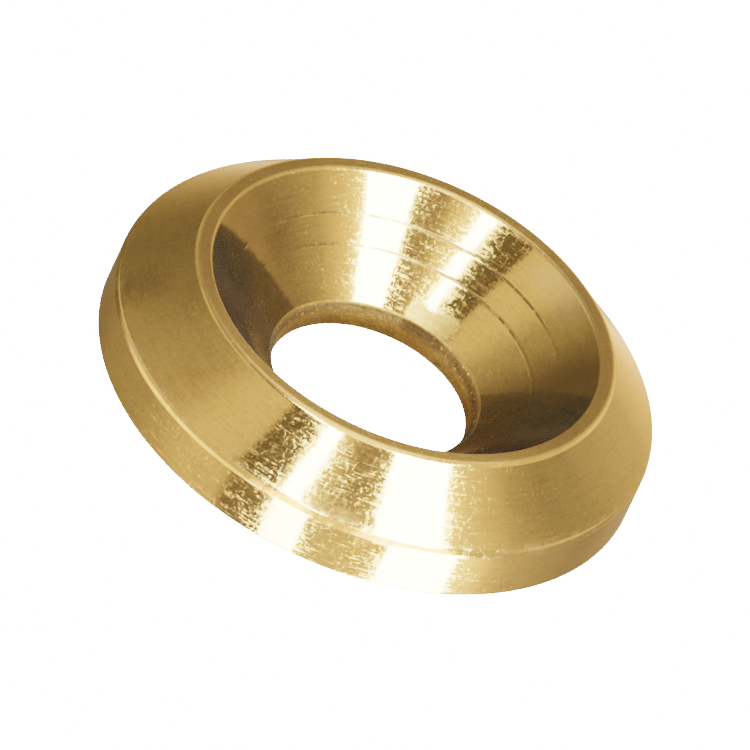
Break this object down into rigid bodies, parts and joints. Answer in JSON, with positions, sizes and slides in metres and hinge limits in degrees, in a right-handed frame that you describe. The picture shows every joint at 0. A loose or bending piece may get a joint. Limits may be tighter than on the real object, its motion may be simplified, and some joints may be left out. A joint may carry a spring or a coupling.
{
  "type": "countersunk finishing washer",
  "caption": "Solid turned brass finishing washer with a chamfered flank, a narrow flat rim and a countersunk seat that lets a flat-head screw sit flush.",
  "frame": {"origin": "centre of the flat underside, on the washer's axis", "axes": "+Z along the washer's axis, out of the countersunk side; the part is the same all round, so X and Y are free"},
  "size_m": [0.024, 0.024, 0.0051],
  "materials": {
    "turned_brass": "bright turned, with fine concentric tool marks and small pits"
  },
  "bodies": {
    "root": {"washer": "turned_brass"}
  },
  "joints": []
}
